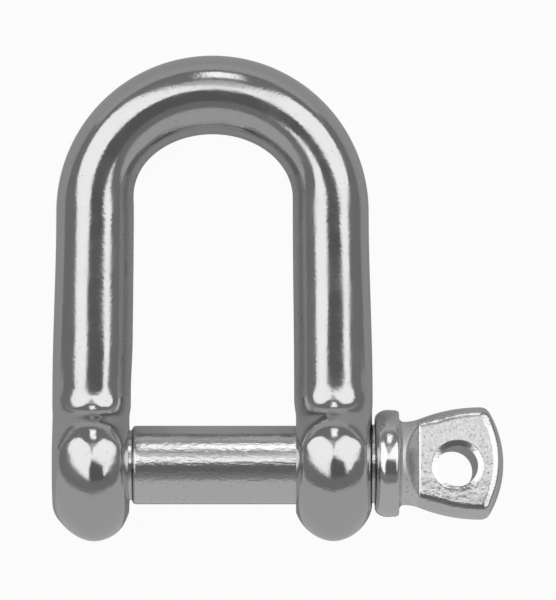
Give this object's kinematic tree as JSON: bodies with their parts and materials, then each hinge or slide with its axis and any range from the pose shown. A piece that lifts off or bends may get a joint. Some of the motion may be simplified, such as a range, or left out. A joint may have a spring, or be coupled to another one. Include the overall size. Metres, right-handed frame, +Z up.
{
  "type": "screw pin d shackle",
  "caption": "Polished steel D shackle for joining chain: a round-bar bow with eyes, closed by a screw pin with a collar and a flattened, drilled head.",
  "frame": {"origin": "on the pin axis, midway between the two eyes of the bow", "axes": "+X along the pin towards its head, +Y level from the pin towards the crown of the bow, +Z up from the floor it lies on"},
  "size_m": [0.0575, 0.0616, 0.0194],
  "materials": {
    "bow_steel": "mirror polished",
    "pin_steel": "polished, a little rippled"
  },
  "bodies": {
    "bow": {"bow": "bow_steel"},
    "pin": {"screw_pin": "pin_steel"}
  },
  "joints": [
    {"name": "pin_draw", "type": "slide", "parent": "bow", "child": "pin", "axis": [1, 0, 0], "range_m": [0, 0.045]}
  ]
}
